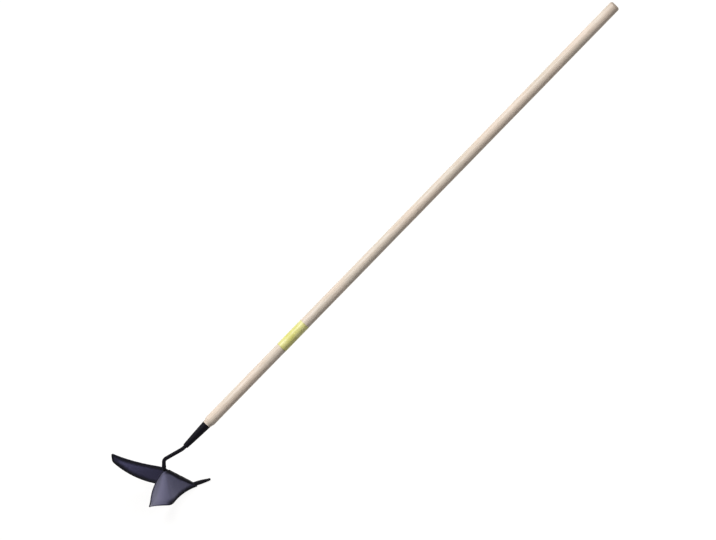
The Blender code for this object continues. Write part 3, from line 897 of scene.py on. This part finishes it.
def eased(line, t):
    # the corner at t = 1 is rounded by a quadratic curve between its two neighbours
    w = board["fold"]
    f = np.clip((t - 1 + w) / (2 * w), 0, 1)[..., None]
    start, middle, end = (line(np.array(x)) for x in (1 - w, 1.0, 1 + w))
    curve = start * (1 - f) ** 2 + middle * 2 * f * (1 - f) + end * f**2
    return np.where((np.abs(t - 1) < w)[..., None], curve, line(t))


def boardFace(t, v):
    # the straight line from the lower edge to the upper one, at v of the way up
    return blend(eased(lowerEdge, t), eased(upperEdge, t), v)


def boardGrid():
    # parameters t and v of the flat part of the face, inset from the outline by the edge's rounding
    b = board
    r = b["edgeRound"]
    t = np.concatenate([
        np.linspace(0, 1 - b["fold"], b["frontCount"], endpoint=False),
        np.linspace(1 - b["fold"], 1 + b["fold"], b["foldCount"], endpoint=False),
        np.linspace(1 + b["fold"], 2, b["wingCount"]),
    ])[:, None]
    w = np.linspace(0, 1, b["upCount"])[None, :]
    # metres along the face to one t, at each end
    step = 0.02
    frontSpeed, tipSpeed = (
        np.linalg.norm(boardFace(np.array(x + step), w) - boardFace(np.array(x), w), axis=-1) / step
        for x in (0.0, 2.0 - step)
    )
    tipHeight = np.linalg.norm(b["tipTop"] - b["tipFoot"]) - 2 * r
    away = np.minimum(w, 1 - w) * tipHeight
    plan = b["tipRound"] - r
    # the blunt tip's corners are arcs: r - sqrt(r^2 - (r - away)^2) is cut off, r the tip's rounding
    cutOff = plan - np.sqrt(np.maximum(plan**2 - np.maximum(plan - away, 0) ** 2, 0))
    # t takes up the ends' insets from 0 to 0.3 and from 1.5 to 2
    nearFront, nearTip = np.clip(1 - t / 0.3, 0, 1), np.clip((t - 1.5) / 0.5, 0, 1)
    t = t + r / frontSpeed * nearFront - (r + cutOff) / tipSpeed * nearTip
    height = np.linalg.norm(eased(upperEdge, t) - eased(lowerEdge, t), axis=-1)
    v = r / height + w * (1 - 2 * r / height)
    return t, np.broadcast_to(v, t.shape), height


def boardMarks(t, v, height, face):
    # wear, hollowness, dark margins, painted shade and painted highlight of the face, back and edge
    b = board
    fromRim, fromSole, fromTip = (1 - v) * height, v * height, (2 - t) * b["lengthOfT"]
    fromEdge = np.minimum.reduce([fromRim, fromSole, t * b["lengthOfT"], fromTip])
    wear = np.exp(-fromEdge / b["edgeWear"])
    ragged = 1 + sum(depth * unevenness(face, waves, seed) for depth, waves, seed in b["ragged"])

    def darkMargin(distance, width):
        return np.exp(-((distance / b[width] / ragged) ** 4))

    def change(name):
        amount, start, over, lean = b[name]
        return amount * smooth((t - start + lean * v) / over)

    # dark margins along the sheared edges and beside the weld, a painted shadow along the sole and
    # painted shade over the front panel, but hardly behind the fold: exp(-(distance / width)^4), the width
    # a little uneven
    outerDarkAndShade = np.maximum.reduce([
        (1 - change("marginFades")) * np.maximum(darkMargin(fromRim, "rimDarkWidth"), darkMargin(fromSole, "soleShadowWidth")),
        (1 - change("rearFades")) * darkMargin(fromSole, "rearDarkWidth"),
        # painted shade over the front panel
        (1 - change("frontEnds")) * b["frontShade"],
    ])
    # the hollow side: dark margins and painted shade that deepens away from the stem and at the tip
    innerMarginAndShade = np.maximum.reduce([
        darkMargin(fromRim, "innerRimShadeWidth"), darkMargin(fromSole, "innerSoleShadeWidth"), darkMargin(fromTip, "innerRimShadeWidth"),
        change("hollowShade") + change("tipShade"),
    ])
    # a painted highlight over the wing, brightest along a band that spreads from the fold's top downwards
    middleOfBand, halfBand = (atRim + more * (1 - v) for atRim, more in (b["bandMiddle"], b["bandHalf"]))
    foldHighlightBand = b["foldHighlight"] * np.exp(-(((t - middleOfBand) / halfBand) ** 2))
    return {
        "edge": (wear, wear, 1.0),
        "dark_margin_and_painted_shade": (outerDarkAndShade, innerMarginAndShade, b["edgeDark"]),
        "hollow": (0.0, 1.0, 0.0),
        "painted_highlight": (change("wingHighlight") + foldHighlightBand, 0.0, 0.0),
    }


def makeBoard(name, node, hand):
    b = board
    t, v, height = boardGrid()
    step = 0.004
    face = boardFace(t, v)
    onward = boardFace(np.minimum(t + step, 2), v) - boardFace(np.maximum(t - step, 0), v)
    ruling = unit(eased(upperEdge, t) - eased(lowerEdge, t))
    normal = unit(np.cross(onward, ruling))
    normal = normal * np.sign(normal[..., 1:2].mean())
    uneven = unevenness(face, b["waves"], 12 if hand > 0 else 13) * b["pressed"]
    inside = smooth(np.minimum(v, 1 - v) * height / b["trueMargin"])
    inside = inside * smooth(t / b["trueEnds"]) * smooth((2 - t) / b["trueEnds"])
    face = face + normal * (uneven * inside)[..., None]
    # through the plate: against the normal, but level along the lower edge, which stands on the ground
    nearSole = 1 - smooth(v * height / b["soleTurn"])
    through = -normal + ruling * (normal[..., 2] / ruling[..., 2] * nearSole)[..., None]
    loop = edgeLoop(*t.shape)
    rim, deep, out = (grid.reshape(-1, 3)[loop] for grid in (face, through, normal))
    outward = unit(np.cross(unit(np.roll(rim, -1, 0) - np.roll(rim, 1, 0)), out))
    middle = face.reshape(-1, 3).mean(0)
    outward = outward * np.sign(((rim - middle) * outward).sum(-1).mean())
    # the band round the edge: out by r sin a, in by r (1 - cos a), then the same mirrored behind
    r = b["edgeRound"]
    a = np.radians(np.linspace(0, 90, b["edgeCount"]))[1:, None, None]
    bulge, sunk = rim + outward * r * np.sin(a), r * (1 - np.cos(a))
    band = np.concatenate([bulge + deep * sunk, (bulge + deep * (b["plate"] - sunk))[::-1]])
    size, count = t.size, len(loop)
    bandRows = 2 * size + np.arange(len(band))[:, None] * count + np.arange(count)
    lines = np.concatenate([loop[None], bandRows, loop[None] + size])
    after = np.roll(lines, -1, 1)
    bandFaces = np.stack([lines[:-1], after[:-1], after[1:], lines[1:]], -1).reshape(-1, 4)
    front = gridFaces(*t.shape)
    faces = np.concatenate([front, front[:, ::-1] + size, bandFaces])
    back = face + through * b["plate"]
    points = np.concatenate([grid.reshape(-1, 3) for grid in (face, back, band)]) * [1, hand, 1]
    # the lower edge is ground level with the share's underside
    points[:, 2] = np.maximum(points[:, 2], 0.0)
    onBand = np.ones(len(band) * count)
    marks = {
        key: np.concatenate([(t * 0 + onFace).ravel(), (t * 0 + behind).ravel(), onBand * onEdge])
        for key, (onFace, behind, onEdge) in boardMarks(t, v, height, face).items()
    }
    addPiece(name, points, faces, "board_paint", node, **marks)


# The weld beads, laid from the share upwards, each ripple a bow across the bead.
weld = {
    "radius": 1.7 * mm,
    "out": 4.75 * mm,  # the bead's middle, sideways from the hoe's
    "above": 0.3 * mm,  # and over the boards' edges, so that it runs into both
    "start": 0.045,  # shares of the boards' front edge
    "end": 0.80,
    "endRound": 2.2 * mm,
    "ripple": 2.1 * mm,
    "rippleDepth": 0.13,
    "depthWaves": 7 * mm,
    "lag": 1.1 * mm,
    "drift": 1.5 * mm,  # how far the ripples stray from even steps
    "driftWaves": 11 * mm,
    "swell": 0.10,  # and the bead from an even width
    "swellWaves": 12 * mm,
    "alongCount": 260,
    "aroundCount": 28,
}


def makeWeld(name, node, hand):
    w = weld
    ends = eased(upperEdge, np.array([w["start"], w["end"]]))
    length = np.linalg.norm(ends[1] - ends[0])
    s = np.linspace(0, length, w["alongCount"])[:, None]
    a = onceRound(w["aroundCount"])[None, :]
    # the ripple's crest lags behind on the bead's flanks
    along = s[:, None] * side
    crest = s + w["lag"] * np.sin(a) ** 2 + w["drift"] * unevenness(along, w["driftWaves"], 61 + hand)
    depth = w["rippleDepth"] * (1 + 0.5 * unevenness(along, w["depthWaves"], 71 + hand))
    ripple = 1 - depth * np.abs(np.cos(math.pi * crest / w["ripple"])) ** 3
    # each end is rounded: radius * sqrt(1 - (1 - way in)^2)
    wayIn = np.clip(np.minimum(s, length - s) / w["endRound"], 0, 1)
    taper = np.sqrt(np.clip(1 - (1 - wayIn) ** 2, 0.01, 1))
    line = blend(ends[0], ends[1], s[:, 0] / length)
    line = (line + side * (w["out"] - flank) + stemFront * w["above"])[:, None]
    up = unit(np.cross(ends[1] - ends[0], side))
    swell = 1 + w["swell"] * (unevenness(line, w["swellWaves"], 17 + hand) - 1)
    radius = (w["radius"] * ripple * taper * swell)[..., None]
    rings = line + radius * (np.cos(a)[..., None] * side + np.sin(a)[..., None] * up)
    points, faces = capped(rings)
    addPiece(name, points * [1, hand, 1], faces, "black_paint", node)


makeHandle()
makeFerrule()
makePin()
makeLabel()
makeShank()
makeShare()
makeBoard("left_board", "mouldboard_left", 1)
makeBoard("right_board", "mouldboard_right", -1)
makeWeld("left_weld", "weld_left", 1)
makeWeld("right_weld", "weld_right", -1)
print("pieces made")

# The floor, which takes the shadow and looks white, and a pale room all round it.
studio = {
    "floorHalf": 40.0,
    "floorDrop": 0.4 * mm,
    "floorColour": "6c6a68",  # what lights the hoe from below
    "floorGlow": 0.86,  # added where the camera or a reflection looks, for a white floor
    "skyDark": 0.16,  # the unlit walls round the camera
    "skyPale": 3.5,  # the window side, in front of the hoe and to its left
    "skyWay": (0.93, 0.30, 0.20),
    "lampStrength": 2.85,
    "lampAngle": math.radians(30.0),  # as wide as an overhead softbox looks from the hoe
    "lampWay": (-0.53, 0.12, 0.84),
}


def seenOrMirrored(tree):
    # 1 for what the camera sees, straight or in a reflection, and 0 for what lights matt surfaces
    rays = addNode(tree, "LightPath").outputs
    seen = rays["Is Camera Ray"]
    for ray in ("Is Transmission Ray", "Is Glossy Ray"):
        seen = addNode(tree, "Math", {"operation": "MAXIMUM"}, {0: seen, 1: rays[ray]})
    return seen


def makeFloor():
    st = studio
    material, tree = newMaterial("pale_floor")
    matt = addNode(tree, "BsdfDiffuse", {"Color": linear(st["floorColour"])})
    strength = addNode(
        tree, "Math", {"operation": "MULTIPLY", 1: st["floorGlow"]}, {0: seenOrMirrored(tree)}
    )
    glow = addNode(tree, "Emission", {}, {"Strength": strength})
    both = addNode(tree, "AddShader", {}, {0: matt, 1: glow})
    addNode(tree, "OutputMaterial", {}, {"Surface": both})
    h, z = st["floorHalf"], -st["floorDrop"]
    mesh = bpy.data.meshes.new("floor")
    mesh.from_pydata([(-h, -h, z), (h, -h, z), (h, h, z), (-h, h, z)], [], [(0, 1, 2, 3)])
    mesh.materials.append(material)
    newObject("floor", mesh)


def makeLight():
    st = studio
    world = bpy.data.worlds.new("studio")
    bpy.context.scene.world = world
    tree = emptyTree(world)
    way = addNode(tree, "TexCoord").outputs["Generated"]
    facing = addNode(tree, "VectorMath", {"operation": "DOT_PRODUCT", 1: st["skyWay"]}, {0: way})
    level = addNode(
        tree, "MapRange",
        {"From Min": 0.4, "From Max": 1.0, "To Min": st["skyDark"], "To Max": st["skyPale"]},
        {"Value": facing},
    )
    sky = addNode(tree, "Background", {}, {"Strength": level})
    pale = addNode(tree, "Background")
    mix = addNode(tree, "MixShader", {}, {0: seenOrMirrored(tree), 1: sky, 2: pale})
    addNode(tree, "OutputWorld", {}, {"Surface": mix})
    lamp = bpy.data.lights.new("overhead_softbox", "SUN")
    lamp.energy = st["lampStrength"]
    lamp.angle = st["lampAngle"]
    holder = newObject("overhead_softbox", lamp)
    holder.rotation_euler = Vector(st["lampWay"]).to_track_quat("Z", "Y").to_euler()


# A long lens, far off, at the photograph's angle: 28 degrees round to the hoe's right, 37.6 up.
view = {
    "azimuth": math.radians(-28.0),
    "elevation": math.radians(37.6),
    "lens": 400.0,
    "sensor": 36.0,
    "pixelsPerMetre": 402.5,
    "neckPixel": (164, 468),  # where the top of the boards' ridge is seen
    "frame": (716, 540),
}


def makeCamera():
    v = view
    a, e = v["azimuth"], v["elevation"]
    right = np.array([math.cos(a), math.sin(a), 0.0])
    up = np.array([-math.sin(a) * math.sin(e), math.cos(a) * math.sin(e), math.cos(e)])
    back = np.cross(right, up)
    width, height = v["frame"]
    ridge = np.array([layout["neckX"], 0.0, layout["ridgeTop"]])
    aside, above = width / 2 - v["neckPixel"][0], v["neckPixel"][1] - height / 2
    aim = ridge + (right * aside + up * above) / v["pixelsPerMetre"]
    distance = width / v["pixelsPerMetre"] * v["lens"] / v["sensor"]
    data = bpy.data.cameras.new("camera")
    data.lens = v["lens"]
    data.sensor_width = v["sensor"]
    data.clip_start = 1.0
    data.clip_end = 200.0
    camera = newObject("camera", data)
    matrix = np.eye(4)
    matrix[:3, 0], matrix[:3, 1], matrix[:3, 2] = right, up, back
    matrix[:3, 3] = aim + back * distance
    camera.matrix_world = Matrix(matrix.tolist())
    bpy.context.scene.camera = camera


makeFloor()
makeLight()
makeCamera()
bpy.context.scene.view_settings.view_transform = "Standard"
print("floor, light and camera made")
